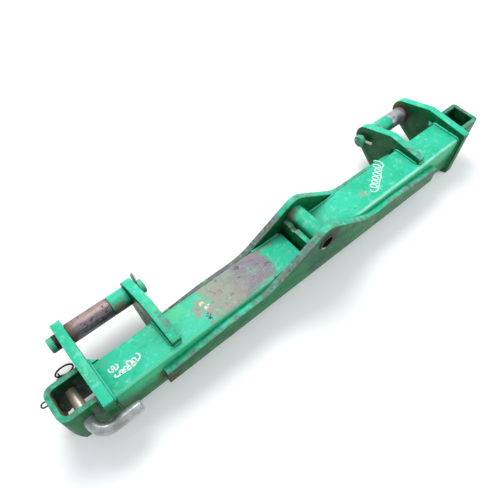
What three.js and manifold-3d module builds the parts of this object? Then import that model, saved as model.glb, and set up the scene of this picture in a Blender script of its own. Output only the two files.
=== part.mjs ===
// Quick coupler for a heavy three-point hitch: a box beam carrying a hooked pin clevis at each end,
// a hump with a pivot bore at the middle, and a strap socket for a parking stand outside each end.
import * as THREE from "three";
import { mergeVertices } from "three/addons/utils/BufferGeometryUtils.js";
import Module from "manifold-3d";

const wasm = await Module();
wasm.setup();

// Driving dimensions, mm. Along the beam: X, from its middle. +Y points to the hitch pins and Y = 0 is
// just inside the back face of the tube. Z = 0 is the top face of the tube.
const GAP = 0.3;
const BEAM = 1280; // between the inner faces of the outer plates
const TUBE = { front: -101.6, back: 2.5, height: 127, wall: 9.5, corner: 12.7 };
const PLATE = 25.4; // outer plates and ears
const OUTER = { front: -112, bottom: -155, bottomFront: -90, bottomBack: -8 };
const EAR = { gap: 169.5, front: -85, bottom: -150, bottomBack: 42 };
const PLATE_TOP = { front: 21, back: 31, backY: 32 };
const OUTER_TIP = { y: 121, z: -38, r: 41 }; // rounded tips of the clevis plates
const EAR_TIP = { y: 116, z: -39, r: 40 };
const PIN = { y: 124.25, z: -47.5, r: 20.3, out: 27, past: 23 };
const SLEEVE_R = 27;
const SPACER = { left: 52, right: 95 }; // length of the painted sleeve beside the ear
const ROLL = { r: 4.5, up: 46, down: 24, fromEar: 9.5, slot: 2, tilt: { left: 54, right: 161 } };
const SIDE = { front: 19, back: 16.5, bottom: -92, half: 514, endTop: -34, shoulder: -20 };
const HUMP = { z: 45, r: 46, slope: 33.2, foot: 155, shoulderX: 230 };
const PIVOT = { z: 38, r: 26, bore: 19.2, proud: 3 };
const SLOT = { left: -55, right: -43 }; // opening between the left half of the beam and the web
const WEB = { right: -27, top: 35 };
const SOCKET = { front: -87, back: 9.2, wall: 12.7, top: 15, bottom: -136 };
const REACH = { left: 88.5, right: 87 }; // how far each socket stands out from its end plate
const BEND = { left: 28, right: 13 }; // outer bends of the socket straps
const CUT = { height: 75, depth: 19 }; // trimmed lower outer corner of each strap
const J_PIN = { x: -706, z: -47, r: 14.3, back: 40, bendY: -96, bend: 38, end: -600 };
const LINCH = { r: 5.5, y: 29, above: 25, below: 27, collar: 7.5, eyeR: 10, eye: 7.1, flat: 3.4 };
const RING = { r: 21, wire: 2.1, lean: 46 };
const LOOP = { y: -20, z: 9, r: 1.8, out: 11, half: 5.5 };
const RUN = 0.35; // radial running clearance

const paint = { color: 0x3ac79a, roughness: 0.5, metalness: 0.25 };
const wornSteel = { color: 0x5a5257, roughness: 0.4, metalness: 0.85 };
const plated = { color: 0xb9b5b0, roughness: 0.35, metalness: 0.9 };
const darkWire = { color: 0x2c2c34, roughness: 0.45, metalness: 0.8 };

const assembly = new THREE.Group();
assembly.name = "quick_coupler";

function solidOf(geometry) {
  const plain = geometry.clone();
  plain.deleteAttribute("normal");
  plain.deleteAttribute("uv");
  const merged = mergeVertices(plain, 1e-3);
  const faces = new Uint32Array(merged.index.array);
  return new wasm.Manifold(
    new wasm.Mesh({ numProp: 3, vertProperties: merged.attributes.position.array, triVerts: faces }),
  );
}

function addPiece(name, solid, look) {
  const mesh = solid.getMesh();
  const geometry = new THREE.BufferGeometry();
  geometry.setAttribute("position", new THREE.BufferAttribute(mesh.vertProperties, 3));
  geometry.setIndex(new THREE.BufferAttribute(mesh.triVerts, 1));
  geometry.computeVertexNormals();
  const piece = new THREE.Mesh(geometry, new THREE.MeshStandardMaterial(look));
  piece.name = name;
  assembly.add(piece);
}

// Turns a shape drawn in (Y, Z) and extruded into a solid that runs along +X from x0 to x1.
function alongX(shape, x0, x1) {
  const geometry = new THREE.ExtrudeGeometry(shape, {
    depth: x1 - x0, bevelEnabled: false, curveSegments: 24,
  });
  const turn = new THREE.Matrix4().makeBasis(
    new THREE.Vector3(0, 1, 0), new THREE.Vector3(0, 0, 1), new THREE.Vector3(1, 0, 0),
  );
  geometry.applyMatrix4(turn);
  geometry.translate(x0, 0, 0);
  return solidOf(geometry);
}

// Turns a shape drawn in (X, Z) into a plate between two Y planes.
function alongY(shape, y0, y1) {
  const geometry = new THREE.ExtrudeGeometry(shape, {
    depth: y1 - y0, bevelEnabled: false, curveSegments: 32,
  });
  geometry.rotateX(Math.PI / 2);
  geometry.translate(0, y1, 0);
  return solidOf(geometry);
}

function alongZ(shape, z0, z1) {
  const geometry = new THREE.ExtrudeGeometry(shape, {
    depth: z1 - z0, bevelEnabled: false, curveSegments: 10,
  });
  geometry.translate(0, 0, z0);
  return solidOf(geometry);
}

function box(x0, x1, y0, y1, z0, z1) {
  const geometry = new THREE.BoxGeometry(x1 - x0, y1 - y0, z1 - z0);
  geometry.translate((x0 + x1) / 2, (y0 + y1) / 2, (z0 + z1) / 2);
  return solidOf(geometry);
}

// A round bar with chamfered ends between two points.
function bar(from, to, radius, chamfer = 0, segments = 40) {
  const length = from.distanceTo(to);
  const profile = [new THREE.Vector2(0, 0)];
  if (chamfer > 0) {
    profile.push(new THREE.Vector2(radius - chamfer, 0), new THREE.Vector2(radius, chamfer));
    profile.push(new THREE.Vector2(radius, length - chamfer));
    profile.push(new THREE.Vector2(radius - chamfer, length));
  } else {
    profile.push(new THREE.Vector2(radius, 0), new THREE.Vector2(radius, length));
  }
  profile.push(new THREE.Vector2(0, length));
  const geometry = new THREE.LatheGeometry(profile, segments);
  const direction = to.clone().sub(from).normalize();
  const turn = new THREE.Quaternion().setFromUnitVectors(new THREE.Vector3(0, 1, 0), direction);
  geometry.applyQuaternion(turn);
  geometry.translate(from.x, from.y, from.z);
  return solidOf(geometry);
}

const at = (x, y, z) => new THREE.Vector3(x, y, z);

function roundedRectangle(a0, a1, b0, b1, r, hole = false) {
  const path = hole ? new THREE.Path() : new THREE.Shape();
  path.moveTo(a0 + r, b0);
  path.lineTo(a1 - r, b0);
  path.absarc(a1 - r, b0 + r, r, -Math.PI / 2, 0);
  path.lineTo(a1, b1 - r);
  path.absarc(a1 - r, b1 - r, r, 0, Math.PI / 2);
  path.lineTo(a0 + r, b1);
  path.absarc(a0 + r, b1 - r, r, Math.PI / 2, Math.PI);
  path.lineTo(a0, b0 + r);
  path.absarc(a0 + r, b0 + r, r, Math.PI, 1.5 * Math.PI);
  return path;
}

// A hole runs the other way round from the outline it is in.
function circleHole(a, b, r, clockwise) {
  const path = new THREE.Path();
  path.absarc(a, b, r, 0, 2 * Math.PI, clockwise);
  return path;
}

// Angle on a circle where a line from an outside point touches it. side is +1 or -1.
function touchAngle(a, b, circle, side) {
  const away = Math.atan2(b - circle.z, a - circle.y);
  const distance = Math.hypot(a - circle.y, b - circle.z);
  return away + side * Math.acos(circle.r / distance);
}

function addTube(name, x0, x1) {
  const { front, back, height, wall, corner } = TUBE;
  const section = roundedRectangle(front, back, -height, 0, corner);
  const inside = roundedRectangle(front + wall, back - wall, -height + wall, -wall, corner - wall, true);
  section.holes.push(inside);
  addPiece(name, alongX(section, x0, x1), paint);
}

// Top edge shared by the outer plates and the ears, then round the tip to the lower edge.
function throughTip(path, tip, bottomBack, bottom) {
  path.lineTo(PLATE_TOP.backY, PLATE_TOP.back);
  const upper = touchAngle(PLATE_TOP.backY, PLATE_TOP.back, tip, -1);
  const lower = touchAngle(bottomBack, bottom, tip, 1);
  path.absarc(tip.y, tip.z, tip.r, upper, lower, true);
  path.lineTo(bottomBack, bottom);
}

function outerPlateShape() {
  const { front, bottom, bottomFront, bottomBack } = OUTER;
  const shape = new THREE.Shape();
  shape.moveTo(front, PLATE_TOP.front - 6);
  shape.lineTo(front + 3, PLATE_TOP.front);
  throughTip(shape, OUTER_TIP, bottomBack, bottom);
  shape.lineTo(bottomFront, bottom);
  shape.lineTo(front, bottom + 9);
  shape.closePath();
  shape.holes.push(circleHole(PIN.y, PIN.z, PIN.r + RUN, false));
  return shape;
}

// The ear is a hook: it lies over the top of the tube and hangs down behind it.
function earShape() {
  const shape = new THREE.Shape();
  shape.moveTo(EAR.front, GAP);
  shape.lineTo(EAR.front, PLATE_TOP.front - 3);
  shape.lineTo(EAR.front + 4, PLATE_TOP.front);
  throughTip(shape, EAR_TIP, EAR.bottomBack, EAR.bottom);
  shape.lineTo(TUBE.back + GAP, EAR.bottom);
  shape.absarc(TUBE.back - TUBE.corner, -TUBE.corner, TUBE.corner + GAP, 0, Math.PI / 2);
  shape.closePath();
  shape.holes.push(circleHole(PIN.y, PIN.z, PIN.r + RUN, false));
  return shape;
}

// Half of a side plate's top edge, between its end and the top of the hump. side is -1 or +1.
function humpHalf(path, side, half) {
  const slope = THREE.MathUtils.degToRad(HUMP.slope);
  const startX = HUMP.r * Math.sin(slope);
  const startZ = HUMP.z + HUMP.r * Math.cos(slope);
  const footZ = startZ - (HUMP.foot - startX) * Math.tan(slope);
  const kneeX = startX + (startZ - SIDE.shoulder) / Math.tan(slope);
  if (side > 0) {
    path.lineTo(half, SIDE.endTop);
    path.lineTo(320, SIDE.shoulder);
    path.lineTo(HUMP.shoulderX, SIDE.shoulder);
    path.quadraticCurveTo(kneeX, SIDE.shoulder, HUMP.foot, footZ);
    path.lineTo(startX, startZ);
  } else {
    path.lineTo(-HUMP.foot, footZ);
    path.quadraticCurveTo(-kneeX, SIDE.shoulder, -HUMP.shoulderX, SIDE.shoulder);
    path.lineTo(-320, SIDE.shoulder);
    path.lineTo(-half, SIDE.endTop);
  }
}

function addSidePlate(name, half, y0, y1) {
  const slope = THREE.MathUtils.degToRad(HUMP.slope);
  const shape = new THREE.Shape();
  shape.moveTo(-half, SIDE.bottom);
  shape.lineTo(half, SIDE.bottom);
  humpHalf(shape, 1, half);
  shape.absarc(0, HUMP.z, HUMP.r, Math.PI / 2 - slope, Math.PI / 2 + slope);
  humpHalf(shape, -1, half);
  shape.closePath();
  shape.holes.push(circleHole(0, PIVOT.z, PIVOT.r + GAP, true));
  addPiece(name, alongY(shape, y0, y1), paint);
}

function addPivotBushing() {
  const front = TUBE.front - GAP - SIDE.front - PIVOT.proud;
  const back = TUBE.back + GAP + SIDE.back + PIVOT.proud;
  const outside = bar(at(0, front, PIVOT.z), at(0, back, PIVOT.z), PIVOT.r, 1.5, 48);
  const bore = bar(at(0, front - 5, PIVOT.z), at(0, back + 5, PIVOT.z), PIVOT.bore, 0, 48);
  addPiece("pivot_bushing", outside.subtract(bore), paint);
}

function addCentreWeb() {
  const web = box(SLOT.right, WEB.right, TUBE.front, TUBE.back - GAP, -TUBE.height, WEB.top);
  const notch = bar(at(SLOT.right - 5, -34, WEB.top + 2), at(WEB.right + 5, -34, WEB.top + 2), 9, 0, 24);
  addPiece("centre_web", web.subtract(notch), paint);
}

// side is -1 for the left end and +1 for the right end.
function spanX(side, near, far) {
  const a = side * near;
  const b = side * far;
  return [Math.min(a, b), Math.max(a, b)];
}

function addClevis(side, label) {
  const half = BEAM / 2;
  const [plate0, plate1] = spanX(side, half, half + PLATE);
  addPiece("outer_plate_" + label, alongX(outerPlateShape(), plate0, plate1), paint);
  const [ear0, ear1] = spanX(side, half - EAR.gap - PLATE, half - EAR.gap);
  addPiece("inner_ear_" + label, alongX(earShape(), ear0, ear1), paint);
}

function addGusset(side, label) {
  const corner = side * (BEAM / 2 - GAP);
  const shape = new THREE.Shape();
  const back = TUBE.back + GAP;
  shape.moveTo(corner, back);
  shape.lineTo(corner, back + 17);
  shape.lineTo(corner - side * 21, back);
  shape.closePath();
  addPiece("corner_gusset_" + label, alongZ(shape, -15, -4), paint);
}

function rollDirection(label) {
  const tilt = THREE.MathUtils.degToRad(ROLL.tilt[label]);
  return at(0, Math.cos(tilt), Math.sin(tilt));
}

function addHitchPin(side, label) {
  const half = BEAM / 2;
  const outer = half + PLATE + PIN.out;
  const inner = half - EAR.gap - PLATE - PIN.past;
  const rollX = side * (half - EAR.gap - PLATE - ROLL.fromEar);
  const shaft = bar(at(side * outer, PIN.y, PIN.z), at(side * inner, PIN.y, PIN.z), PIN.r, 2.5);
  const centre = at(rollX, PIN.y, PIN.z);
  const reach = rollDirection(label).multiplyScalar(ROLL.up + 10);
  const hole = bar(centre.clone().sub(reach), centre.clone().add(reach), ROLL.r + 0.2, 0, 20);
  addPiece("hitch_pin_" + label, shaft.subtract(hole), wornSteel);
  addRollPin(label, centre);
}

// A slotted spring pin: a short tube split along its length.
function addRollPin(label, centre) {
  const direction = rollDirection(label);
  const up = direction.clone().multiplyScalar(ROLL.up);
  const down = direction.clone().multiplyScalar(-ROLL.down);
  const ends = [centre.clone().add(down), centre.clone().add(up)];
  const body = bar(ends[0], ends[1], ROLL.r, 0.8, 20);
  const longer = direction.clone().multiplyScalar(5);
  const bore = bar(ends[0].clone().sub(longer), ends[1].clone().add(longer), ROLL.r - 1.8, 0, 16);
  const length = ends[0].distanceTo(ends[1]) + 10;
  const slit = new THREE.BoxGeometry(ROLL.slot, length, 2 * ROLL.r);
  slit.translate(0, 0, ROLL.r);
  slit.applyQuaternion(new THREE.Quaternion().setFromUnitVectors(at(0, 1, 0), direction));
  const middle = ends[0].clone().add(ends[1]).multiplyScalar(0.5);
  slit.translate(middle.x, middle.y, middle.z);
  addPiece("roll_pin_" + label, body.subtract(bore).subtract(solidOf(slit)), wornSteel);
}

function addSleeve(name, x0, x1, look) {
  const outside = bar(at(x0, PIN.y, PIN.z), at(x1, PIN.y, PIN.z), SLEEVE_R, 1.2);
  const bore = bar(at(x0 - 5, PIN.y, PIN.z), at(x1 + 5, PIN.y, PIN.z), PIN.r + RUN);
  addPiece(name, outside.subtract(bore), look);
}

function addSleeves(side, label) {
  const half = BEAM / 2;
  const earFace = half - EAR.gap;
  const joint = earFace + SPACER[label];
  const [wear0, wear1] = spanX(side, joint + 0.3, half - 0.5);
  addSleeve("wear_sleeve_" + label, wear0, wear1, wornSteel);
  const [spacer0, spacer1] = spanX(side, earFace + 0.5, joint - 0.3);
  addSleeve("spacer_sleeve_" + label, spacer0, spacer1, paint);
}

// The stand socket is one flat bar bent into a U, open upwards and downwards.
function addSocket(side, label) {
  const { front, back, wall, top, bottom } = SOCKET;
  const bend = BEND[label];
  const near = BEAM / 2 + PLATE + GAP;
  const far = BEAM / 2 + PLATE + REACH[label];
  const outline = new THREE.Shape();
  outline.moveTo(side * near, front);
  outline.lineTo(side * (far - bend), front);
  outline.quadraticCurveTo(side * far, front, side * far, front + bend);
  outline.lineTo(side * far, back - bend);
  outline.quadraticCurveTo(side * far, back, side * (far - bend), back);
  outline.lineTo(side * near, back);
  outline.lineTo(side * near, back - wall);
  outline.lineTo(side * (far - bend), back - wall);
  outline.quadraticCurveTo(side * (far - wall), back - wall, side * (far - wall), back - bend);
  outline.lineTo(side * (far - wall), front + bend);
  outline.quadraticCurveTo(side * (far - wall), front + wall, side * (far - bend), front + wall);
  outline.lineTo(side * near, front + wall);
  outline.closePath();
  let strap = alongZ(outline, bottom, top);
  strap = strap.subtract(cornerCut(side, far, bottom));
  strap = strap.subtract(crossBore(side));
  addPiece("stand_socket_" + label, strap, paint);
}

// Trims the lower outer corner of the strap.
function cornerCut(side, far, bottom) {
  const shape = new THREE.Shape();
  shape.moveTo(side * (far + 5), bottom + CUT.height);
  shape.lineTo(side * (far - CUT.depth), bottom - 5);
  shape.lineTo(side * (far + 5), bottom - 5);
  shape.closePath();
  return alongY(shape, SOCKET.front - 10, SOCKET.back + 10);
}

function crossBore(side) {
  const x = side * -J_PIN.x;
  return bar(at(x, SOCKET.front - 10, J_PIN.z), at(x, SOCKET.back + 10, J_PIN.z), J_PIN.r + 0.4, 0, 36);
}

// A round bar bent once, so its long arm runs across the front of the outer plate.
function addJPin() {
  const { x, z, r, back, bendY, bend, end } = J_PIN;
  const armY = bendY - bend;
  const path = new THREE.CurvePath();
  path.add(new THREE.LineCurve3(at(x, back - 3, z), at(x, bendY, z)));
  const k = 0.5523 * bend;
  path.add(new THREE.CubicBezierCurve3(
    at(x, bendY, z), at(x, bendY - k, z), at(x + bend - k, armY, z), at(x + bend, armY, z),
  ));
  path.add(new THREE.LineCurve3(at(x + bend, armY, z), at(end, armY, z)));
  const circle = new THREE.Shape();
  circle.absarc(0, 0, r, 0, 2 * Math.PI);
  const geometry = new THREE.ExtrudeGeometry(circle, { steps: 44, curveSegments: 18, extrudePath: path });
  let pin = solidOf(geometry);
  if (pin.volume() < 0) throw new Error("the bent bar is inside out");
  pin = pin.add(bar(at(x, back - 6, z), at(x, back, z), r - 1.5, 3, 36));
  pin = pin.add(bar(at(end - 3, armY, z), at(end + 4, armY, z), r - 0.6, 3.4, 36));
  const top = at(x, LINCH.y, z + 40);
  pin = pin.subtract(bar(at(x, LINCH.y, z - 40), top, LINCH.r + 0.4, 0, 24));
  addPiece("j_pin", pin, plated);
}

// A shank with a collar that rests on the bar, and a flat open eye on top for the ring.
function addLinchPin() {
  const x = J_PIN.x;
  const y = LINCH.y;
  const z = J_PIN.z;
  const eyeZ = z + LINCH.above;
  const rest = z + J_PIN.r + GAP;
  const shank = bar(at(x, y, z - LINCH.below), at(x, y, eyeZ - LINCH.eye - 1.5), LINCH.r, 1, 24);
  const collar = bar(at(x, y, rest), at(x, y, rest + 4), LINCH.collar, 1, 28);
  const flat = LINCH.flat / 2;
  const head = bar(at(x - flat, y, eyeZ), at(x + flat, y, eyeZ), LINCH.eyeR, 0.8, 32);
  const eye = bar(at(x - 20, y, eyeZ), at(x + 20, y, eyeZ), LINCH.eye, 0, 28);
  addPiece("linch_pin", shank.add(collar).add(head).subtract(eye), darkWire);
}

// The ring hangs in the eye and leans over towards the end plate.
function addLinchRing() {
  const profile = [];
  for (let i = 0; i <= 14; i += 1) {
    const a = (i / 14) * 2 * Math.PI;
    profile.push(new THREE.Vector2(RING.r + RING.wire * Math.cos(a), RING.wire * Math.sin(a)));
  }
  const lean = THREE.MathUtils.degToRad(RING.lean);
  const geometry = new THREE.LatheGeometry(profile, 48);
  const eyeZ = J_PIN.z + LINCH.above;
  geometry.translate(
    J_PIN.x + RING.r * Math.sin(lean), LINCH.y, eyeZ + RING.r * Math.cos(lean),
  );
  addPiece("linch_pin_ring", solidOf(geometry), darkWire);
}

// A small wire staple on the outside of the left socket.
function addTetherLoop() {
  const x = -(BEAM / 2 + PLATE + REACH.left + GAP);
  const { y, z, r, out, half } = LOOP;
  const path = new THREE.CurvePath();
  path.add(new THREE.LineCurve3(at(x, y - half, z), at(x - out + half, y - half, z)));
  path.add(new THREE.CubicBezierCurve3(
    at(x - out + half, y - half, z), at(x - out - 3, y - half, z),
    at(x - out - 3, y + half, z), at(x - out + half, y + half, z),
  ));
  path.add(new THREE.LineCurve3(at(x - out + half, y + half, z), at(x, y + half, z)));
  const circle = new THREE.Shape();
  circle.absarc(0, 0, r, 0, 2 * Math.PI);
  const geometry = new THREE.ExtrudeGeometry(circle, { steps: 24, curveSegments: 6, extrudePath: path });
  addPiece("tether_loop", solidOf(geometry), darkWire);
}

const half = BEAM / 2;
addTube("beam_tube_left", -half + GAP, SLOT.left);
addTube("beam_tube_right", WEB.right + GAP, half - GAP);
addCentreWeb();
addSidePlate("side_plate_front", SIDE.half, TUBE.front - GAP - SIDE.front, TUBE.front - GAP);
const backStart = TUBE.back + GAP;
addSidePlate("side_plate_back", half - EAR.gap - PLATE - GAP, backStart, backStart + SIDE.back);
addPivotBushing();
for (const [side, label] of [[-1, "left"], [1, "right"]]) {
  addClevis(side, label);
  addGusset(side, label);
  addHitchPin(side, label);
  addSleeves(side, label);
  addSocket(side, label);
}
addJPin();
addLinchPin();
addLinchRing();
addTetherLoop();

// The part's frame: the middle of the bounding box in X and Y, and the resting plane.
const bounds = new THREE.Box3().setFromObject(assembly);
const middle = bounds.getCenter(new THREE.Vector3());
assembly.position.set(-middle.x, -middle.y, -bounds.min.z);

export default assembly;
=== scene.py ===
import math
import random

import bpy
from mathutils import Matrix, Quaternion, Vector


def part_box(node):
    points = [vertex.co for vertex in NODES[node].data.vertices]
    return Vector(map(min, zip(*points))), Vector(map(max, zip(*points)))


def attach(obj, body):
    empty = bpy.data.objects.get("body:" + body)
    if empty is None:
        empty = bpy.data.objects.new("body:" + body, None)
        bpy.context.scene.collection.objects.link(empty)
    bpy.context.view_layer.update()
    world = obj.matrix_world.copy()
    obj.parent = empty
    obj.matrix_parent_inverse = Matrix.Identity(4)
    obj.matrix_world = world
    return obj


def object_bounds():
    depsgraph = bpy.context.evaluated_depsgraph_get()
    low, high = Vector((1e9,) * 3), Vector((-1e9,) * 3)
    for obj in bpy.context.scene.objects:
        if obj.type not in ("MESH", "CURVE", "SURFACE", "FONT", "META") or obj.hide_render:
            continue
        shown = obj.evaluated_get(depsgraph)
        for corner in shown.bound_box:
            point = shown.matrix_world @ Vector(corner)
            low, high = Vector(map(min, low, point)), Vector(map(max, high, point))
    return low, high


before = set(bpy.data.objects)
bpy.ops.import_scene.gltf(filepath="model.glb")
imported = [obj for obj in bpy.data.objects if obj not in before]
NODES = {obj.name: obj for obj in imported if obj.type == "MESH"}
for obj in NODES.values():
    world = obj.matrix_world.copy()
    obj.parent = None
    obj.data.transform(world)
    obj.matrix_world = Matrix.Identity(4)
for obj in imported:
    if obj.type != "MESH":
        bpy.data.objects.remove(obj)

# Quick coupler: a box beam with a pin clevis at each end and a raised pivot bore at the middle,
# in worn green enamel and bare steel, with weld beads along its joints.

CAD_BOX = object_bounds()
BOX = {name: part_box(name) for name in NODES}
MM = 0.001
SIDES = {"left": -1, "right": 1}

# Landmarks of the part, in metres, from the boxes of its nodes.
TUBE_LO, TUBE_HI = BOX["beam_tube_left"]
MID_X = (BOX["outer_plate_right"][0].x + BOX["outer_plate_left"][1].x) / 2
FRONT, BACK, TOP, BOTTOM = TUBE_LO.y, TUBE_HI.y, TUBE_HI.z, TUBE_LO.z
CORNER = 12.7 * MM
PIN_LO, PIN_HI = BOX["wear_sleeve_left"]
PIN_Y, PIN_Z = (PIN_LO.y + PIN_HI.y) / 2, (PIN_LO.z + PIN_HI.z) / 2
PIVOT_LO, PIVOT_HI = BOX["pivot_bushing"]
PIVOT_Z = (PIVOT_LO.z + PIVOT_HI.z) / 2
LINCH_PIN_BELOW = 27 * MM   # how far the linch pin reaches below the axis of the cross pin
J_Z = BOX["linch_pin"][0].z + LINCH_PIN_BELOW
J_X = (BOX["linch_pin"][0].x + BOX["linch_pin"][1].x) / 2

# Rounding of the cut edges: thin parts, sleeves and web, thick plates.
FINE_EDGE, SLEEVE_EDGE, PLATE_EDGE = 0.6 * MM, 0.8 * MM, 1.0 * MM
FLAT_ANGLE, ROUND_ANGLE, SHARP_ANGLE = math.radians(1.0), math.radians(40), math.radians(38)
JOIN_DISTANCE = 0.00002

# Weld bead radii.
TUBE_WELD, EAR_WELD, SOCKET_WELD = 4.5 * MM, 3.6 * MM, 3.8 * MM
PLATE_WELD, HUMP_WELD = 3.4 * MM, 4.0 * MM

CHALK_WIDTH = 3.6 * MM
NOISE_SLICE = 1.37    # step between the noise slices of one material
RAGGED = 6            # how far a stain's edge wanders, in units of its wobble
STAIN_GLOSS = 0.6     # roughness of a round stain
MARGIN = 0.01         # how far a stained region reaches past the plate that it covers


def spot(x, y, z):
    """A point in mm: along the beam from its middle, back from its front face, up from its top."""
    return Vector((MID_X + x * MM, FRONT + y * MM, TOP + z * MM))


def rgb(red, green, blue):
    """A screen colour, 0 to 255, as linear light."""
    def linear(value):
        value /= 255
        return value / 12.92 if value <= 0.04045 else ((value + 0.055) / 1.055) ** 2.4
    return (linear(red), linear(green), linear(blue), 1.0)


# ---------------------------------------------------------------- shader graphs

class Graph:
    """A material's node tree, with short calls for the nodes that repeat."""

    def __init__(self, name, seed):
        self.material = bpy.data.materials.new(name)
        self.material.use_nodes = True
        self.nodes = self.material.node_tree.nodes
        self.nodes.clear()
        self.seed = seed
        self.bsdf = self.add("ShaderNodeBsdfPrincipled")
        output = self.add("ShaderNodeOutputMaterial")
        self.link(self.bsdf.outputs[0], output.inputs["Surface"])
        coords = self.add("ShaderNodeTexCoord")
        self.pos, self.normal = coords.outputs["Object"], coords.outputs["Normal"]
        self.geometry_normal = self.add("ShaderNodeNewGeometry").outputs["Normal"]

    def add(self, kind, **props):
        node = self.nodes.new(kind)
        for key, value in props.items():
            setattr(node, key, value)
        return node

    def link(self, output, socket):
        self.material.node_tree.links.new(output, socket)

    def put(self, socket, value):
        """Links another node's output to the socket, or sets its value."""
        if isinstance(value, bpy.types.NodeSocket):
            self.link(value, socket)
        else:
            socket.default_value = value

    def math(self, operation, a, b=0.0):
        node = self.add("ShaderNodeMath", operation=operation)
        self.put(node.inputs[0], a)
        self.put(node.inputs[1], b)
        return node.outputs[0]

    def vector(self, operation, a, b=(0, 0, 0)):
        node = self.add("ShaderNodeVectorMath", operation=operation)
        self.put(node.inputs[0], a)
        self.put(node.inputs[1], b)
        return node.outputs["Value" if operation in ("LENGTH", "DOT_PRODUCT") else "Vector"]

    def axes(self, vector):
        node = self.add("ShaderNodeSeparateXYZ")
        self.link(vector, node.inputs[0])
        return node.outputs

    def noise(self, scale, detail=4.0, rough=0.55, distort=0.0, stretch=None):
        """Noise around 0.5. Each call takes its own slice, so that no two look alike."""
        self.seed += NOISE_SLICE
        place = self.pos if stretch is None else self.vector("MULTIPLY", self.pos, stretch)
        node = self.add("ShaderNodeTexNoise", noise_dimensions="4D")
        self.link(place, node.inputs["Vector"])
        for key, value in (("W", self.seed), ("Scale", scale), ("Detail", detail),
                           ("Roughness", rough), ("Distortion", distort)):
            node.inputs[key].default_value = value
        return node.outputs["Fac"]

    def step(self, value, low, high, out_low=0.0, out_high=1.0):
        """A smooth step from out_low at low to out_high at high."""
        flip = low > high
        node = self.add("ShaderNodeMapRange", interpolation_type="SMOOTHSTEP", clamp=True)
        ends = (high, low, out_high, out_low) if flip else (low, high, out_low, out_high)
        self.put(node.inputs["Value"], value)
        for key, end in zip(("From Min", "From Max", "To Min", "To Max"), ends):
            node.inputs[key].default_value = end
        return node.outputs["Result"]

    def mix(self, share, a, b):
        node = self.add("ShaderNodeMix", data_type="RGBA")
        self.put(node.inputs[0], share)
        self.put(node.inputs[6], a)
        self.put(node.inputs[7], b)
        return node.outputs[2]

    def blend(self, share, a, b):
        node = self.add("ShaderNodeMix", data_type="FLOAT")
        self.put(node.inputs[0], share)
        self.put(node.inputs[2], a)
        self.put(node.inputs[3], b)
        return node.outputs[0]

    def roughen(self, distance, wobble, scale):
        """Makes the edge at distance 0 ragged."""
        if not wobble:
            return distance
        ragged = self.math("SUBTRACT", self.noise(scale, 5.0, 0.65), 0.5)
        return self.math("ADD", distance, self.math("MULTIPLY", ragged, RAGGED * wobble))

    def zone(self, low, high, soft, wobble=0.0, scale=30.0):
        """1 inside the box from low to high, fading to 0 over soft, with a ragged edge."""
        centre, reach = (low + high) / 2, (high - low) / 2
        offset = self.vector("SUBTRACT", self.pos, tuple(centre))
        outside = self.vector("SUBTRACT", self.vector("ABSOLUTE", offset), tuple(reach))
        x, y, z = self.axes(outside)
        distance = self.math("MAXIMUM", self.math("MAXIMUM", x, y), z)
        distance = self.roughen(distance, wobble, scale)
        return self.step(distance, soft, -soft)

    def ball(self, centre, radius, soft, wobble=0.0, scale=60.0):
        """1 inside the ball, fading to 0 over soft, with a ragged edge."""
        distance = self.vector("LENGTH", self.vector("SUBTRACT", self.pos, tuple(centre)))
        distance = self.roughen(distance, wobble, scale)
        return self.step(distance, radius + soft, radius - soft)

    def edges(self, radius):
        """How sharply the surface turns within radius: 0 on a flat, 1 on a square edge."""
        node = self.add("ShaderNodeBevel", samples=6)
        node.inputs["Radius"].default_value = radius
        along = self.vector("DOT_PRODUCT", node.outputs[0], self.geometry_normal)
        return self.step(along, 0.985, 0.8)

    def crevices(self, reach):
        """1 deep in a corner between faces, 0 in the open."""
        node = self.add("ShaderNodeAmbientOcclusion", samples=8)
        node.inputs["Distance"].default_value = reach
        return self.step(node.outputs["AO"], 0.78, 0.3)

    def any(self, *shares):
        """The largest of the shares."""
        total = shares[0]
        for share in shares[1:]:
            total = self.math("MAXIMUM", total, share)
        return total

    def both(self, a, b):
        """The product of two shares."""
        return self.math("MULTIPLY", a, b)

    def bump(self, height, strength, distance, under=None):
        node = self.add("ShaderNodeBump")
        node.inputs["Strength"].default_value = strength
        node.inputs["Distance"].default_value = distance
        self.put(node.inputs["Height"], height)
        if under is not None:
            self.link(under, node.inputs["Normal"])
        return node.outputs[0]

    def finish(self, color, rough, metal=0.0, normal=None, specular=0.5):
        self.put(self.bsdf.inputs["Base Color"], color)
        self.put(self.bsdf.inputs["Roughness"], rough)
        self.put(self.bsdf.inputs["Metallic"], metal)
        self.bsdf.inputs["Specular IOR Level"].default_value = specular
        if normal is not None:
            self.link(normal, self.bsdf.inputs["Normal"])
        return self.material


MINT, MINT_DEEP, MINT_PALE = rgb(56, 210, 172), rgb(28, 176, 124), rgb(126, 228, 202)
PAINTED_SHADE_GREEN, PAINTED_SHADE_DEEP_GREEN = rgb(2, 106, 54), rgb(0, 80, 42)
RUST = rgb(120, 84, 62)


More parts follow.
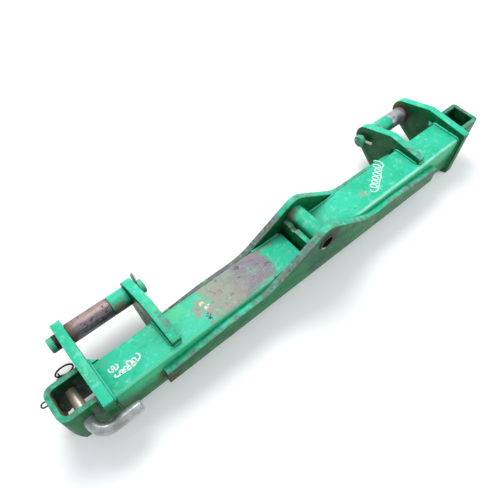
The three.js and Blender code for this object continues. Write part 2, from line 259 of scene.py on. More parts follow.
def enamel(name, seed, layers=(), wear=0.5):
    """Green enamel, chipped at the edges: pale mint on its tops as painted light, deep green on its
    sides as painted shade.

    layers is a list of functions of the graph that each return (share, colour, roughness).
    """
    g = Graph(name, seed)
    up = g.step(g.axes(g.normal)[2], 0.1, 0.8)
    side = g.math("SUBTRACT", 1.0, up)
    broad, middle = g.noise(7.0, 4.0, 0.6), g.noise(48.0, 6.0, 0.68)
    # Painted light: the upward faces get the pale, mottled mints.
    lit_top_paint = g.mix(g.step(broad, 0.38, 0.62), MINT, g.mix(0.5, MINT, MINT_DEEP))
    lit_top_paint = g.mix(g.both(g.step(middle, 0.52, 0.64), 0.55), lit_top_paint, MINT_PALE)
    lit_top_paint = g.mix(g.both(g.step(g.noise(70.0, 6.0, 0.7), 0.54, 0.66), 0.6), lit_top_paint, MINT_DEEP)
    # Painted shade: the sides get deep green, mottled.
    shade = g.mix(g.step(g.noise(9.0, 5.0, 0.6), 0.4, 0.6), PAINTED_SHADE_GREEN, PAINTED_SHADE_DEEP_GREEN)
    fresh = g.both(g.step(g.noise(55.0, 6.0, 0.7), 0.54, 0.66), 0.55)
    shade = g.mix(fresh, shade, rgb(22, 132, 74))
    color = g.mix(up, shade, lit_top_paint)
    rough = g.blend(g.step(middle, 0.3, 0.7), 0.3, 0.5)
    # Grime that has run down the sides; deep in the corners, darker paint that is painted shade and
    # grime, broken by noise.
    streak = g.both(g.step(g.noise(34.0, 5.0, 0.65, stretch=(1, 1, 0.12)), 0.54, 0.68), side)
    color = g.mix(g.both(streak, 0.45), color, rgb(16, 42, 26))
    # Painted shade: darker paint where the corners hide the surface, broken by noise.
    corner_shade_and_grime = g.both(g.crevices(28 * MM), g.step(g.noise(60.0, 5.0, 0.65), 0.34, 0.56))
    color = g.mix(g.both(corner_shade_and_grime, 0.7), color, rgb(26, 62, 42))
    # Scuffs to a pale film and to brown primer.
    film = g.step(g.noise(85.0, 6.0, 0.75, stretch=(0.4, 1, 1)), 0.57, 0.65)
    color = g.mix(g.both(film, g.blend(up, 0.07, 0.5)), color, rgb(150, 214, 192))
    brown = g.both(g.step(g.noise(32.0, 6.0, 0.75), 0.59, 0.68), 0.35 + 0.4 * wear)
    color = g.mix(brown, color, g.mix(up, rgb(70, 60, 46), rgb(136, 150, 128)))
    for layer in layers:
        share, tint, gloss = layer(g)
        color = g.mix(share, color, tint)
        rough = g.blend(share, rough, gloss)
    # Paint gone from the edges and in small chips, to rust and then bare metal.
    edge = g.edges(3.6 * MM)
    chips = g.step(g.noise(95.0, 6.0, 0.7), 0.60 - 0.2 * wear, 0.66 - 0.18 * wear)
    edge_chips = g.both(edge, chips)
    flecks = g.step(g.noise(170.0, 6.0, 0.75, 0.4), 0.63, 0.67)
    scuffs = g.step(g.noise(60.0, 6.0, 0.75, stretch=(0.16, 1, 1)), 0.66, 0.7)
    gone = g.any(edge_chips, g.both(g.any(flecks, scuffs), 0.3 + 0.6 * wear))
    clean = g.step(g.noise(70.0, 5.0, 0.65), 0.44, 0.56)
    bare = g.mix(clean, rgb(84, 66, 54), rgb(134, 132, 126))
    color = g.mix(g.both(gone, 0.85), color, bare)
    rough = g.blend(gone, rough, 0.72)
    relief = g.bump(g.noise(420.0, 2.0), 0.15, 0.4 * MM)
    relief = g.bump(middle, 0.3, 1.2 * MM, relief)
    relief = g.bump(g.math("SUBTRACT", 1.0, gone), 0.6, 0.5 * MM, relief)
    return g.finish(color, rough, 0.0, relief, 0.2)


def patch(low, high, soft, tint, gloss, wobble, scale=30.0, strength=1.0):
    """A layer for enamel(): one region of stain, of wear or of painted shade."""
    def layer(g):
        return g.both(g.zone(low, high, soft, wobble, scale), strength), tint, gloss
    return layer


def blot(centre, radius, soft, tint, strength, wobble, scale=60.0):
    """A layer for enamel(): one round spot with a ragged edge, used for stains and for one painted
    highlight.
    """
    def layer(g):
        return g.both(g.ball(centre, radius, soft, wobble, scale), strength), tint, STAIN_GLOSS
    return layer


def painted_corner_highlight(tint):
    """Painted highlight: paint made pale along the beam's long upper front corner."""
    def layer(g):
        _, ny, nz = g.axes(g.normal)
        front = g.both(g.step(nz, 0.99, 0.93), g.step(ny, 0.0, -0.2))
        band = g.both(g.step(nz, 0.45, 0.7), front)
        broken = g.step(g.noise(34.0, 6.0, 0.72, stretch=(0.2, 1, 1)), 0.36, 0.56, 0.35, 0.9)
        return g.both(band, broken), tint, 0.25
    return layer


def painted_light_shoulder(g):
    """Painted light: brighter paint on the front faces just below that corner."""
    _, _, z = g.axes(g.vector("SUBTRACT", g.pos, tuple(spot(0, 0, 0))))
    ragged = g.math("MULTIPLY", g.math("SUBTRACT", g.noise(28.0, 5.0, 0.7), 0.5), 0.06)
    height = g.math("ADD", z, ragged)
    share = g.both(g.step(height, -0.085, -0.02), g.step(g.axes(g.normal)[1], -0.2, -0.6))
    return g.both(share, 0.9), rgb(44, 182, 126), 0.4


def worn_top(g):
    """The long patch rubbed through its paint on top of the left half of the beam."""
    x, y, _ = g.axes(g.vector("SUBTRACT", g.pos, tuple(spot(0, 0, 0))))
    fingers = g.math("SUBTRACT", g.noise(60.0, 6.0, 0.7, stretch=(0.25, 1, 1)), 0.5)
    fade = g.step(x, -0.43, -0.27, -0.13, 0.17)
    left = g.math("ADD", g.noise(34.0, 6.0, 0.75), fade)
    right = g.math("ADD", x, g.math("MULTIPLY", fingers, 0.07))
    front = g.math("ADD", y, g.math("MULTIPLY", fingers, 0.08))
    share = g.both(g.step(left, 0.47, 0.56), g.step(right, -0.132, -0.146))
    share = g.both(share, g.blend(g.step(x, -0.27, -0.17), 1.0, g.step(front, 0.006, 0.018)))
    share = g.both(share, g.step(g.axes(g.normal)[2], 0.35, 0.7))
    share = g.both(share, g.step(g.noise(75.0, 6.0, 0.75), 0.31, 0.38))
    rubbed = g.math("ADD", g.math("MULTIPLY", x, -2.2), g.noise(9.0, 5.0, 0.65))
    tint = g.mix(g.step(rubbed, 0.94, 1.16), rgb(138, 132, 142), rgb(158, 164, 150))
    brown = g.both(g.step(g.noise(26.0, 6.0, 0.72), 0.48, 0.64), 0.6)
    tint = g.mix(brown, tint, rgb(160, 144, 136))
    green = g.both(g.step(g.noise(44.0, 6.0, 0.75, stretch=(0.5, 1, 1)), 0.52, 0.64), 0.6)
    tint = g.mix(green, tint, rgb(128, 176, 152))
    pale = g.both(g.step(g.noise(120.0, 6.0, 0.75), 0.55, 0.62), 0.5)
    tint = g.mix(pale, tint, rgb(184, 186, 190))
    dark = g.both(g.step(g.noise(60.0, 6.0, 0.75), 0.56, 0.62), g.step(y, 0.06, 0.015, 1.0, 0.35))
    tint = g.mix(g.both(dark, 0.85), tint, rgb(92, 76, 82))
    return share, tint, 0.6


def edge_rust(low, high, strength=0.9, cover=0.5):
    """Rust and bare metal along a plate's cut edge."""
    def layer(g):
        region = g.zone(low, high, 8 * MM, 10 * MM, 35.0)
        share = g.both(region, g.step(g.axes(g.normal)[2], 0.1, 0.5))
        broken = g.step(g.noise(42.0, 6.0, 0.75), 0.62 - 0.28 * cover, 0.72 - 0.28 * cover)
        share = g.both(share, broken)
        brown = g.step(g.noise(30.0, 6.0, 0.7), 0.5, 0.64)
        tint = g.mix(brown, rgb(118, 112, 118), rgb(156, 148, 122))
        pits = g.both(g.step(g.noise(90.0, 6.0, 0.75), 0.52, 0.6), 0.7)
        tint = g.mix(pits, tint, rgb(70, 60, 62))
        return g.both(share, strength), tint, 0.7
    return layer


def bare_steel(name, seed, base, dark, rough, metal, stains=(), along="x", paint=None):
    """Bare steel with rubbed streaks, scratches and stains.

    stains is a list of layers as in enamel(). paint is one more, which isn't metal.
    """
    g = Graph(name, seed)
    stretch = {"x": (0.06, 1, 1), "none": (1, 1, 1)}[along]
    streaks = g.noise(160.0, 5.0, 0.65, stretch=stretch)
    blotch = g.noise(24.0, 5.0, 0.62)
    color = g.mix(g.step(blotch, 0.35, 0.65), base, dark)
    color = g.mix(g.step(streaks, 0.42, 0.62, 0.0, 0.55), color, dark)
    color = g.mix(g.step(g.noise(90.0, 5.0, 0.7), 0.6, 0.72, 0.0, 0.5), color, RUST)
    rough_value = g.blend(g.step(streaks, 0.35, 0.65), rough - 0.08, rough + 0.14)
    metal_value = metal
    for layer in stains:
        share, tint, gloss = layer(g)
        color = g.mix(share, color, tint)
        rough_value = g.blend(share, rough_value, gloss)
    if paint is not None:
        share, tint, gloss = paint(g)
        color = g.mix(share, color, tint)
        rough_value = g.blend(share, rough_value, gloss)
        metal_value = g.blend(share, metal, 0.0)
    relief = g.bump(streaks, 0.2, 0.35 * MM)
    relief = g.bump(g.noise(300.0, 3.0), 0.15, 0.3 * MM, relief)
    return g.finish(color, rough_value, metal_value, relief, 0.5)


def end_paint(inner, outer):
    """Green paint left on a hitch pin outside the band from inner to outer, along X."""
    def layer(g):
        x = g.axes(g.pos)[0]
        ragged = g.math("MULTIPLY", g.math("SUBTRACT", g.noise(70.0, 5.0), 0.5), 12 * MM)
        x = g.math("ADD", x, ragged)
        low = g.step(x, inner + 1.5 * MM, inner - 1.5 * MM)
        high = g.step(x, outer - 1.5 * MM, outer + 1.5 * MM)
        # Painted light and shade: the green is pale on the pin's upper side and dark on its lower
        # side.
        tint = g.mix(g.step(g.axes(g.normal)[2], -0.2, 0.8), rgb(18, 104, 62), rgb(66, 200, 156))
        tint = g.mix(g.step(g.noise(60.0, 5.0, 0.7), 0.56, 0.68), tint, rgb(150, 158, 148))
        return g.math("MAXIMUM", low, high), tint, 0.5
    return layer


# ---------------------------------------------------------------- geometry helpers

def geometry_group(name):
    """An empty modifier group with one geometry in and one out."""
    group = bpy.data.node_groups.new(name, "GeometryNodeTree")
    for way in ("INPUT", "OUTPUT"):
        group.interface.new_socket("Geometry", in_out=way, socket_type="NodeSocketGeometry")
    start, end = group.nodes.new("NodeGroupInput"), group.nodes.new("NodeGroupOutput")
    return group, start, end


def smoothing_group():
    """A modifier group that shades smooth except across sharp edges."""
    group, start, end = geometry_group("clean_and_smooth")
    nodes, links = group.nodes, group.links
    angle = nodes.new("GeometryNodeInputMeshEdgeAngle")
    sharp = nodes.new("FunctionNodeCompare")
    sharp.data_type, sharp.operation = "FLOAT", "GREATER_THAN"
    sharp.inputs[1].default_value = SHARP_ANGLE
    faces = nodes.new("GeometryNodeSetShadeSmooth")
    edges = nodes.new("GeometryNodeSetShadeSmooth")
    faces.domain, edges.domain = "FACE", "EDGE"
    faces.inputs["Shade Smooth"].default_value = True
    edges.inputs["Shade Smooth"].default_value = False
    links.new(start.outputs[0], faces.inputs["Geometry"])
    links.new(faces.outputs[0], edges.inputs["Geometry"])
    links.new(angle.outputs["Unsigned Angle"], sharp.inputs[0])
    links.new(sharp.outputs[0], edges.inputs["Selection"])
    links.new(edges.outputs[0], end.inputs[0])
    return group


def cleaning_group():
    """A modifier group that joins split points."""
    group, start, end = geometry_group("join_points")
    nodes, links = group.nodes, group.links
    remove = nodes.new("GeometryNodeRemoveAttribute")
    remove.inputs["Name"].default_value = "custom_normal"
    merge = nodes.new("GeometryNodeMergeByDistance")
    merge.inputs["Distance"].default_value = JOIN_DISTANCE
    links.new(start.outputs[0], remove.inputs["Geometry"])
    links.new(remove.outputs[0], merge.inputs["Geometry"])
    links.new(merge.outputs[0], end.inputs[0])
    return group


SMOOTH = smoothing_group()
JOIN = cleaning_group()


def dress(names, material, bevel):
    """Gives nodes a material, small rounded edges and smooth shading, on their own meshes."""
    for name in names:
        obj = NODES[name]
        for index in range(len(obj.material_slots)):
            obj.material_slots[index].material = material
        if not obj.material_slots:
            obj.data.materials.append(material)
        obj.modifiers.new("join", "NODES").node_group = JOIN
        if bevel:
            flat = obj.modifiers.new("flat", "DECIMATE")
            flat.decimate_type, flat.angle_limit = "DISSOLVE", FLAT_ANGLE
            round_edges = obj.modifiers.new("round", "BEVEL")
            round_edges.width, round_edges.segments = bevel, 2
            round_edges.limit_method, round_edges.angle_limit = "ANGLE", ROUND_ANGLE
            round_edges.use_clamp_overlap = True
        obj.modifiers.new("shade", "NODES").node_group = SMOOTH


def bead_mesh(verts, faces, points, radius, rng, closed, sides=8):
    """Adds one weld bead along points: a tube whose size ripples like overlapping puddles."""
    path = resample(points, radius * 0.55, closed)
    count = len(path)
    base = len(verts)
    pitch = rng.uniform(1.25, 1.5) * radius
    travelled = 0.0
    for i, point in enumerate(path):
        before = path[i - 1] if closed or i else path[i]
        after = path[(i + 1) % count] if closed or i < count - 1 else path[i]
        tangent = (after - before).normalized()
        across = tangent.cross(Vector((0.31, 0.17, 0.93))).normalized()
        lift = across.cross(tangent)
        ripple = 0.93 + 0.12 * abs(math.sin(math.pi * travelled / pitch))
        size = radius * ripple * rng.uniform(0.96, 1.05)
        if not closed:
            size *= min(1.0, 0.35 + 0.65 * min(i, count - 1 - i) / 3)
        for k in range(sides):
            turn = 2 * math.pi * k / sides
            verts.append(point + size * (math.cos(turn) * across + math.sin(turn) * lift))
        travelled += (after - point).length
    rings = count if closed else count - 1
    for i in range(rings):
        a, b = base + i * sides, base + ((i + 1) % count) * sides
        for k in range(sides):
            n = (k + 1) % sides
            faces.append((a + k, a + n, b + n, b + k))
    if not closed:
        faces.append(tuple(base + k for k in reversed(range(sides))))
        faces.append(tuple(base + (count - 1) * sides + k for k in range(sides)))


def resample(points, spacing, closed):
    """Evenly spaced points along a polyline."""
    ring = list(points) + ([points[0]] if closed else [])
    result = [ring[0].copy()]
    carried = 0.0
    for a, b in zip(ring, ring[1:]):
        length = (b - a).length
        if length < 1e-9:
            continue
        reach = spacing - carried
        while reach <= length:
            result.append(a.lerp(b, reach / length))
            reach += spacing
        carried = length - (reach - spacing)
    if closed and (result[-1] - result[0]).length < spacing * 0.4:
        result.pop()
    if not closed:
        result.append(ring[-1].copy())
    return result


def frame_piece(name, verts, faces, material, smooth):
    """A new piece of the painted frame."""
    mesh = bpy.data.meshes.new(name)
    mesh.from_pydata([tuple(v) for v in verts], [], faces)
    if smooth:
        mesh.validate()
        for polygon in mesh.polygons:
            polygon.use_smooth = True
    mesh.materials.append(material)
    obj = bpy.data.objects.new(name, mesh)
    bpy.context.scene.collection.objects.link(obj)
    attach(obj, "frame")


def welds(name, runs, seed):
    """One piece that holds several weld beads. Each run is (points, radius, closed)."""
    rng = random.Random(seed)
    verts, faces = [], []
    for points, radius, closed in runs:
        bead_mesh(verts, faces, points, radius, rng, closed)
    frame_piece(name, verts, faces, WELD, True)


def arc(centre, radius, start, end, count):
    """Points of an arc across the beam, in the YZ plane, angles in degrees."""
    points = []
    for i in range(count + 1):
        turn = math.radians(start + (end - start) * i / count)
        point = Vector(centre)
        point.y += radius * math.cos(turn)
        point.z += radius * math.sin(turn)
        points.append(point)
    return points


# ---------------------------------------------------------------- camera, light and floor

CAMERA_LENS = 34.03
CAMERA_OFFSET = Vector((0.0358, -0.3878, 1.2067))
CAMERA_TURN = Quaternion((0.899641, 0.264184, -0.112814, -0.328825))
FLOOR_SIZE, FLOOR_GAP, FLOOR_GLOW = 40, 0.0005, 0.22
SKY_STRENGTH = 0.62


def add_camera():
    """The viewpoint is fixed to the lowest front corner of the left end plate."""
    data = bpy.data.cameras.new("camera")
    data.sensor_width, data.lens = 36.0, CAMERA_LENS
    data.clip_start, data.clip_end = 0.01, 50
    camera = bpy.data.objects.new("camera", data)
    camera.location = BOX["outer_plate_left"][0] + CAMERA_OFFSET
    camera.rotation_mode = "QUATERNION"
    camera.rotation_quaternion = CAMERA_TURN
    bpy.context.scene.collection.objects.link(camera)
    bpy.context.scene.camera = camera


def add_light(name, place, target, size, power, color=(1, 1, 1)):
    """A soft round light at place, turned to target."""
    data = bpy.data.lights.new(name, "AREA")
    data.shape, data.size, data.energy, data.color = "DISK", size, power, color
    light = bpy.data.objects.new(name, data)
    light.location = place
    light.rotation_mode = "QUATERNION"
    light.rotation_quaternion = (Vector(target) - Vector(place)).to_track_quat("-Z", "Y")
    bpy.context.scene.collection.objects.link(light)


def add_floor():
    """A plain pale floor just under the part."""
    level = CAD_BOX[0].z - FLOOR_GAP
    bpy.ops.mesh.primitive_plane_add(size=FLOOR_SIZE, location=(0, 0, level))
    floor = bpy.context.object
    floor.name = "floor"
    g = Graph("floor", 3.0)
    cloud = g.step(g.noise(1.5, 2.0), 0.3, 0.7)
    tint = g.mix(cloud, (0.86, 0.87, 0.88, 1), (0.89, 0.90, 0.91, 1))
    g.put(g.bsdf.inputs["Emission Color"], (1, 1, 1, 1))
    g.put(g.bsdf.inputs["Emission Strength"], FLOOR_GLOW)
    floor.data.materials.append(g.finish(tint, 0.85, 0.0, None, 0.2))


def add_world():
    """Even light from all round."""
    world = bpy.data.worlds.new("studio")
    world.use_nodes = True
    background = world.node_tree.nodes["Background"]
    background.inputs["Color"].default_value = (0.93, 0.97, 1.0, 1)
    background.inputs["Strength"].default_value = SKY_STRENGTH
    bpy.context.scene.world = world


add_camera()
add_world()
add_floor()
bpy.context.scene.view_settings.view_transform = "Standard"
add_light("key", (0.2, 1.4, 2.7), (0, 0, 0.1), 1.6, 62, (1.0, 0.99, 0.97))
add_light("glint", (1.9, -2.3, 1.5), (0.1, 0, 0.1), 0.4, 22)

# ---------------------------------------------------------------- materials of the parts


def painted(node, name, seed, layers, wear, bevel):
    """Enamels one node."""
    dress([node], enamel(name, seed, layers, wear), bevel)


def over(low, high, bottom, top):
    """The corners of a region that covers a part in plan, from the height bottom to top."""
    return (Vector((low.x - MARGIN, low.y - MARGIN, bottom)),
            Vector((high.x + MARGIN, high.y + MARGIN, top)))


painted("beam_tube_left", "enamel_tube_left", 11.0, [
    painted_light_shoulder, painted_corner_highlight(rgb(112, 216, 178)), worn_top,
    patch(spot(-440, 70, -6), spot(-392, 104, 6), 10 * MM, rgb(70, 206, 150), 0.4, 0.008),
    blot(spot(-353, 62, 0), 4.5 * MM, 2 * MM, rgb(240, 214, 176), 1.0, 0.008, 120.0),
    blot(spot(-349, 50, 0), 3.5 * MM, 2 * MM, rgb(244, 236, 226), 1.0, 0.008, 120.0),
    blot(spot(-358, 22, 0), 5 * MM, 2 * MM, rgb(58, 74, 96), 0.9, 0.008, 120.0),
    patch(spot(-140, 88, -6), spot(-62, 106, 6), 6 * MM, rgb(134, 126, 92), 0.7, 0.008, 40.0, 0.7),
    # Brown rust with painted shade on the tube's front face beside the end of the front side plate.
    patch(spot(-530, -3, -96), spot(-505, 2, -40), 8 * MM, rgb(86, 68, 48), 0.75, 0.006, 40.0, 0.7),
], 0.35, FINE_EDGE)
painted("beam_tube_right", "enamel_tube_right", 23.0, [
    painted_light_shoulder, painted_corner_highlight(rgb(160, 234, 212)),
    blot(spot(226, 46, 0), 9 * MM, 7 * MM, rgb(150, 176, 150), 0.75, 0.006),
    patch(spot(-30, 84, -6), spot(60, 106, 6), 6 * MM, rgb(112, 128, 112), 0.7, 0.008, 40.0, 0.6),
], 0.3, FINE_EDGE)

painted("side_plate_front", "enamel_side_front", 31.0, [
    edge_rust(spot(-530, -30, -60), spot(-180, -13, 20), 0.8, 0.75),
    edge_rust(spot(-250, -30, -20), spot(-20, 2, 110), 0.85, 0.95),
    edge_rust(spot(-20, -30, 10), spot(150, 2, 110), 0.8, 0.6),
    edge_rust(spot(120, -30, -60), spot(530, -13, 20), 0.85, 0.8),
    blot(Vector((MID_X + 0.008, FRONT - 0.019, PIVOT_Z + 0.008)), 38 * MM, 8 * MM,
         rgb(52, 46, 40), 0.75, 0.006),
    # Brown rust with painted shade at the lower left end of the front side plate.
    patch(spot(-520, -30, -96), spot(-478, -10, -60), 8 * MM,
          rgb(84, 60, 44), 0.75, 0.008, 40.0, 0.8),
], 0.6, PLATE_EDGE)
painted("side_plate_back", "enamel_side_back", 37.0, [
    edge_rust(spot(-460, 90, -60), spot(460, 140, 110), 0.7, 0.5),
    edge_rust(spot(-420, 90, -60), spot(-60, 140, 110), 0.9, 0.95),
], 0.6, PLATE_EDGE)

painted("centre_web", "enamel_web", 41.0, [
    edge_rust(spot(-60, 40, 10), spot(-10, 110, 50), 0.8, 0.7),
], 0.7, SLEEVE_EDGE)

BORE_REACH = 19.4 * MM


def painted_bore_shadow(g):
    """Painted shadow: the wall of the pivot bore coloured near black."""
    across = g.vector("SUBTRACT", g.pos, (MID_X, 0, PIVOT_Z))
    reach = g.vector("LENGTH", g.vector("MULTIPLY", across, (1, 0, 1)))
    return g.step(reach, BORE_REACH + 0.4 * MM, BORE_REACH), rgb(40, 32, 32), 0.35


painted("pivot_bushing", "enamel_bushing", 43.0, [
    patch(PIVOT_LO - Vector((MARGIN, MARGIN, MARGIN)),
          Vector((PIVOT_HI.x + MARGIN, FRONT - 20 * MM, PIVOT_HI.z + MARGIN)),
          1 * MM, rgb(58, 44, 42), 0.5, 0.0005),
    # Painted highlight: a pale spot on the lower lip of the bore.
    blot(Vector((MID_X - 0.011, PIVOT_LO.y, PIVOT_Z - 0.020)), 8 * MM, 3 * MM,
         rgb(196, 206, 202), 0.9, 0.002),
    patch(spot(-34, 84, 20), spot(-4, 106, 80), 5 * MM, rgb(128, 112, 84), 0.7, 0.008, 60.0, 0.6),
    painted_bore_shadow,
], 0.4, 0.0)

# Per side: light and dark steel, then a tint and its share for the upper, back faces, painted
# lighter as painted light; on the left the tint is also a pinkish rust film.
SLEEVE_LOOKS = {
    "left": (rgb(150, 138, 144), rgb(74, 72, 84), rgb(176, 152, 146), 0.75),
    "right": (rgb(212, 218, 228), rgb(136, 140, 154), rgb(214, 216, 220), 0.35),
}


def painted_lit_sleeve_top(tint, strength):
    """Painted light: the upper, back half of a wear sleeve made lighter in the given tint, which on
    the left sleeve is also a pinkish rust film.
    """
    def layer(g):
        _, y, z = g.axes(g.normal)
        facing = g.math("ADD", z, g.math("MULTIPLY", y, 0.8))
        facing = g.math("ADD", facing, g.math("SUBTRACT", g.noise(40.0, 6.0, 0.75), 0.5))
        return g.both(g.step(facing, 0.62, 0.8), strength), tint, 0.6
    return layer


def sleeve_rust(plate_x):
    """Rust on a sleeve where it runs against the end plate."""
    def layer(g):
        away = g.math("ABSOLUTE", g.math("SUBTRACT", g.axes(g.pos)[0], plate_x))
        ragged = g.math("SUBTRACT", g.noise(60.0, 6.0, 0.7), 0.5)
        away = g.math("ADD", away, g.math("MULTIPLY", ragged, 0.05))
        return g.step(away, 0.02, 0.006, 0.0, 0.85), rgb(132, 96, 88), 0.7
    return layer


def bright_scratches(g):
    """Long bright scratches round a sleeve."""
    scratch = g.step(g.noise(90.0, 6.0, 0.8, stretch=(0.2, 1, 1)), 0.57, 0.62)
    return g.both(scratch, 0.75), rgb(212, 216, 226), 0.3


def dark_pits(g):
    """Small dark pits in a sleeve."""
    return g.both(g.step(g.noise(70.0, 6.0, 0.75), 0.57, 0.63), 0.8), rgb(58, 48, 52), 0.65


def rim_grime(g):
    """Dirt rubbed into the paint on the open top of a stand socket."""
    up = g.step(g.axes(g.normal)[2], 0.3, 0.8)
    share = g.both(up, g.step(g.noise(30.0, 6.0, 0.72), 0.38, 0.56, 0.25, 0.85))
    return share, rgb(58, 116, 86), 0.6


# Painted light: the left pin is coloured near white, lighter than the right one.
ROLL_PIN_LOOKS = {
    "left": (rgb(240, 244, 234), rgb(196, 202, 190)),
    "right": (rgb(206, 208, 194), rgb(140, 142, 128)),
}


def dress_plates(side, sign):
    """The end plate, the ear and the gusset of one clevis."""
    plate_lo, plate_hi = BOX["outer_plate_" + side]
    inside_x = plate_hi.x if side == "left" else plate_lo.x
    painted("outer_plate_" + side, "enamel_outer_" + side, 51.0 + sign, [
        blot(Vector((inside_x, PIN_Y, PIN_Z)), 36 * MM, 5 * MM, rgb(84, 58, 52), 0.85, 0.006),
        edge_rust(*over(plate_lo, plate_hi, TOP - 0.05, TOP + 0.1), 0.6, 0.1),
    ], 0.55, PLATE_EDGE)
    ear_lo, ear_hi = BOX["inner_ear_" + side]
    painted("inner_ear_" + side, "enamel_ear_" + side, 57.0 + sign, [
        edge_rust(Vector((ear_lo.x - MARGIN, ear_lo.y - MARGIN, TOP)),
                  Vector((ear_hi.x + MARGIN, ear_lo.y + 0.09, TOP + 0.1)), 0.7, 0.6),
    ], 0.6, PLATE_EDGE)
    painted("corner_gusset_" + side, "enamel_gusset_" + side, 61.0 + sign, [], 0.5, FINE_EDGE)


def dress_socket(side, sign):
    """The strap socket, with painted shade on its inside and one worn inner wall."""
    low, high = BOX["stand_socket_" + side]
    painted("stand_socket_" + side, "enamel_socket_" + side, 67.0 + sign, [
        rim_grime,
        edge_rust(*over(low, high, low.z, high.z + MARGIN), 0.75, 0.5),
        # Painted shade: the inside of the socket coloured dark green.
        patch(low + Vector((0.012, 0.012, -0.01)), high - Vector((0.012, 0.012, 0.004)),
              2 * MM, rgb(16, 44, 28), 0.6, 0.002, 50.0, 0.8),
        patch(low + Vector((0.010, 0.014, 0.05)),
              Vector((low.x + 0.0135, high.y - 0.014, high.z - 0.012)),
              2 * MM, rgb(148, 138, 104), 0.6, 0.010, 40.0, 0.75),
    ], 0.6, PLATE_EDGE)


def dress_pins(side, sign):
    """The sleeves, the hitch pin and the spring pin of one clevis."""
    plate_lo, plate_hi = BOX["outer_plate_" + side]
    ear_lo, ear_hi = BOX["inner_ear_" + side]
    inside_x, outer_face = (plate_hi.x, plate_lo.x) if side == "left" else (plate_lo.x, plate_hi.x)
    inner_face = ear_hi.x if side == "left" else ear_lo.x
    spacer_lo = BOX["spacer_sleeve_" + side][0]
    painted("spacer_sleeve_" + side, "enamel_spacer_" + side, 71.0 + sign, [
        patch(spacer_lo + Vector((0.008, -0.01, 0.010)), spacer_lo + Vector((0.036, 0.024, 0.05)),
              4 * MM, rgb(140, 122, 92), 0.6, 0.008, 50.0, 0.8),
    ], 0.5, SLEEVE_EDGE)
    light, dark, film, film_share = SLEEVE_LOOKS[side]
    sleeve = bare_steel("steel_sleeve_" + side, 81.0 + sign, light, dark, 0.34, 0.45, [
        bright_scratches, painted_lit_sleeve_top(film, film_share), dark_pits, sleeve_rust(inside_x),
    ])
    dress(["wear_sleeve_" + side], sleeve, SLEEVE_EDGE)
    inner, outer = sorted((outer_face + sign * 12 * MM, inner_face - sign * 10 * MM))
    pin = bare_steel("steel_pin_" + side, 91.0 + sign, rgb(96, 84, 82), rgb(44, 38, 40),
                     0.45, 0.45, paint=end_paint(inner, outer))
    dress(["hitch_pin_" + side], pin, 0.0)
    spring = bare_steel("steel_roll_" + side, 97.0 + sign, *ROLL_PIN_LOOKS[side],
                        0.45, 0.1, along="none")
    dress(["roll_pin_" + side], spring, 0.0)


for side, sign in SIDES.items():
    dress_plates(side, sign)
    dress_socket(side, sign)
    dress_pins(side, sign)

CROSS_PIN = (Vector((J_X - 0.03, BOX["stand_socket_left"][0].y + 0.012, J_Z - 0.03)),
             Vector((J_X + 0.03, BOX["stand_socket_left"][1].y + 0.05, J_Z + 0.03)))
ZINC = bare_steel("zinc", 101.0, rgb(198, 204, 206), rgb(136, 138, 136), 0.3, 0.35, [
    lambda g: (g.both(g.zone(*CROSS_PIN, 6 * MM, 3 * MM), 0.65), rgb(222, 210, 184), 0.45),
    lambda g: (g.both(g.step(g.noise(30.0, 6.0, 0.72), 0.53, 0.64), 0.5), rgb(178, 168, 148), 0.5),
    lambda g: (g.both(g.step(g.noise(120.0, 6.0, 0.7), 0.57, 0.62), 0.7), rgb(112, 106, 98), 0.6),
], along="none")
dress(["j_pin"], ZINC, 0.0)
WIRE = bare_steel("oxide_wire", 103.0, rgb(52, 54, 62), rgb(24, 24, 30), 0.38, 0.7, along="none")
dress(["linch_pin", "linch_pin_ring", "tether_loop"], WIRE, 0.0)

# ---------------------------------------------------------------- weld beads

WELD = enamel("enamel_weld", 111.0, [], 0.5)


def tube_loop(x):
    """The outline of the beam tube's section at x, as a closed path."""
    low, high = Vector((x, FRONT, BOTTOM)), Vector((x, BACK, TOP))
    c = CORNER
    return [
        *arc((x, high.y - c, high.z - c), c, 90, 0, 5),
        *arc((x, high.y - c, low.z + c), c, 0, -90, 5),
        *arc((x, low.y + c, low.z + c), c, 270, 180, 5),
        *arc((x, low.y + c, high.z - c), c, 180, 90, 5),
    ]


def clevis_runs(side, sign):
    """The beads round the tube's end, along the ear and along the socket of one clevis."""
    plate, ear = BOX["outer_plate_" + side], BOX["inner_ear_" + side]
    socket = BOX["stand_socket_" + side]
    inner_x, outer_x = (plate[1].x, plate[0].x) if side == "left" else (plate[0].x, plate[1].x)
    above = TOP + 1 * MM
    runs = [(tube_loop(inner_x - sign * 1.5 * MM), TUBE_WELD, True)]
    for x in (ear[0].x - 1.0 * MM, ear[1].x + 1.0 * MM):
        runs.append(([Vector((x, ear[0].y + 3 * MM, above)), Vector((x, BACK - CORNER, above)),
                      *arc((x, BACK - CORNER, TOP - CORNER), CORNER + 1 * MM, 90, 0, 6),
                      Vector((x, BACK + 1 * MM, ear[0].z + 6 * MM))], EAR_WELD, False))
    front = ear[0].y - 0.5 * MM
    runs.append(([Vector((ear[0].x + 2 * MM, front, above)),
                  Vector((ear[1].x - 2 * MM, front, above))], EAR_WELD, False))
    beside = outer_x + sign * 1.5 * MM
    for y in (socket[0].y - 0.5 * MM, socket[1].y + 0.5 * MM):
        runs.append(([Vector((beside, y, socket[0].z + 4 * MM)),
                      Vector((beside, y, socket[1].z - 3 * MM))], SOCKET_WELD, False))
    return runs


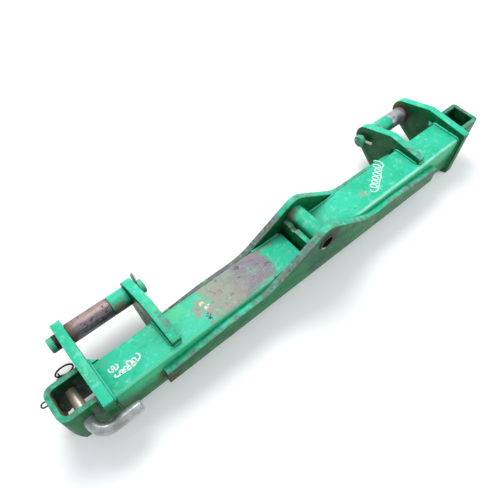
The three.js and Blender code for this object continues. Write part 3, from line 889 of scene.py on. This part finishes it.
def side_plate_runs(plate, y, inward):
    """The beads below a side plate, along its top beside the hump, and up both of its ends."""
    low, high = plate
    bottom = low.z + 0.5 * MM
    runs = [([Vector((low.x + 4 * MM, y, bottom)), Vector((high.x - 4 * MM, y, bottom))],
             PLATE_WELD, False)]
    for x0, x1 in ((-160, -57), (-24, 160)):
        points = [spot(x0, 0, -2), spot(x1, 0, -2)]
        for point in points:
            point.y = y + inward * 4.5 * MM
        runs.append((points, HUMP_WELD, False))
    for end, way in ((low.x, -1), (high.x, 1)):
        x = end + way * 0.5 * MM
        runs.append(([Vector((x, y, low.z + 3 * MM)), Vector((x, y, TOP - 36 * MM))],
                     PLATE_WELD, False))
    return runs


for side, sign in SIDES.items():
    welds("welds_clevis_" + side, clevis_runs(side, sign), 5 + sign)
welds("welds_side_plates", side_plate_runs(BOX["side_plate_front"], FRONT, 1)
      + side_plate_runs(BOX["side_plate_back"], BACK, -1), 17)

# ---------------------------------------------------------------- chalk marks

def chalk():
    """Dry chalk that lets some green through."""
    g = Graph("chalk", 131.0)
    thin = g.step(g.noise(160.0, 5.0, 0.7), 0.45, 0.6)
    rough = g.blend(g.noise(80.0), 0.7, 0.95)
    grain = g.bump(g.noise(500.0), 0.4, 0.3 * MM)
    return g.finish(g.mix(thin, rgb(240, 250, 244), rgb(186, 226, 208)), rough, 0.0, grain, 0.2)


CHALK = chalk()
SCRAWL_STEPS = 14                                                # points in one loop
STRIP = ((1, 0.02), (0.7, 0.3), (-0.7, 0.3), (-1, 0.02))         # a strip's section


def scrawl(start, end, height, turns, rng):
    """A looping line from start to end that spells nothing."""
    along = end - start
    across = Vector((-along.y, along.x, 0)).normalized() * height / 2
    loop = along / turns * 0.62
    sizes = [rng.uniform(0.35, 1.15) for _ in range(turns + 2)]
    shifts = [rng.uniform(-0.25, 0.25) for _ in range(turns + 2)]
    points = []
    for k in range(turns * SCRAWL_STEPS + 1):
        t = k / SCRAWL_STEPS
        size = sizes[int(t)] * (1 - t % 1) + sizes[int(t) + 1] * (t % 1)
        shift = shifts[int(t)] * (1 - t % 1) + shifts[int(t) + 1] * (t % 1)
        turn = 2 * math.pi * t
        points.append(start + along * (t / turns) - loop * math.sin(turn)
                      + across * (size * math.cos(turn) + shift))
    return points


def chalk_marks(name, strokes):
    """Thin raised strips of chalk that lie on the beam's top face."""
    verts, faces = [], []
    for stroke in strokes:
        path = resample(stroke, 1.5 * MM, False)
        base = len(verts)
        for i, point in enumerate(path):
            tangent = path[min(i + 1, len(path) - 1)] - path[max(i - 1, 0)]
            across = Vector((-tangent.y, tangent.x, 0)).normalized() * CHALK_WIDTH / 2
            for reach, lift in STRIP:
                verts.append(Vector((point.x + across.x * reach, point.y + across.y * reach,
                                     TOP + lift * MM)))
        for i in range(len(path) - 1):
            a = base + 4 * i
            for k in range(4):
                n = (k + 1) % 4
                faces.append((a + k, a + n, a + 4 + n, a + 4 + k))
        last = base + 4 * (len(path) - 1)
        faces.append((base + 3, base + 2, base + 1, base))
        faces.append((last, last + 1, last + 2, last + 3))
    frame_piece(name, verts, faces, CHALK, False)


CHALK_RNG = random.Random(47)
chalk_marks("chalk_left", [
    scrawl(spot(-612, 60, 0), spot(-596, 62, 0), 18 * MM, 2, CHALK_RNG),
    scrawl(spot(-606, 40, 0), spot(-545, 48, 0), 19 * MM, 5, CHALK_RNG),
])
chalk_marks("chalk_right", [
    scrawl(spot(262, 36, 0), spot(360, 96, 0), 30 * MM, 7, CHALK_RNG),
])

bpy.context.view_layer.update()
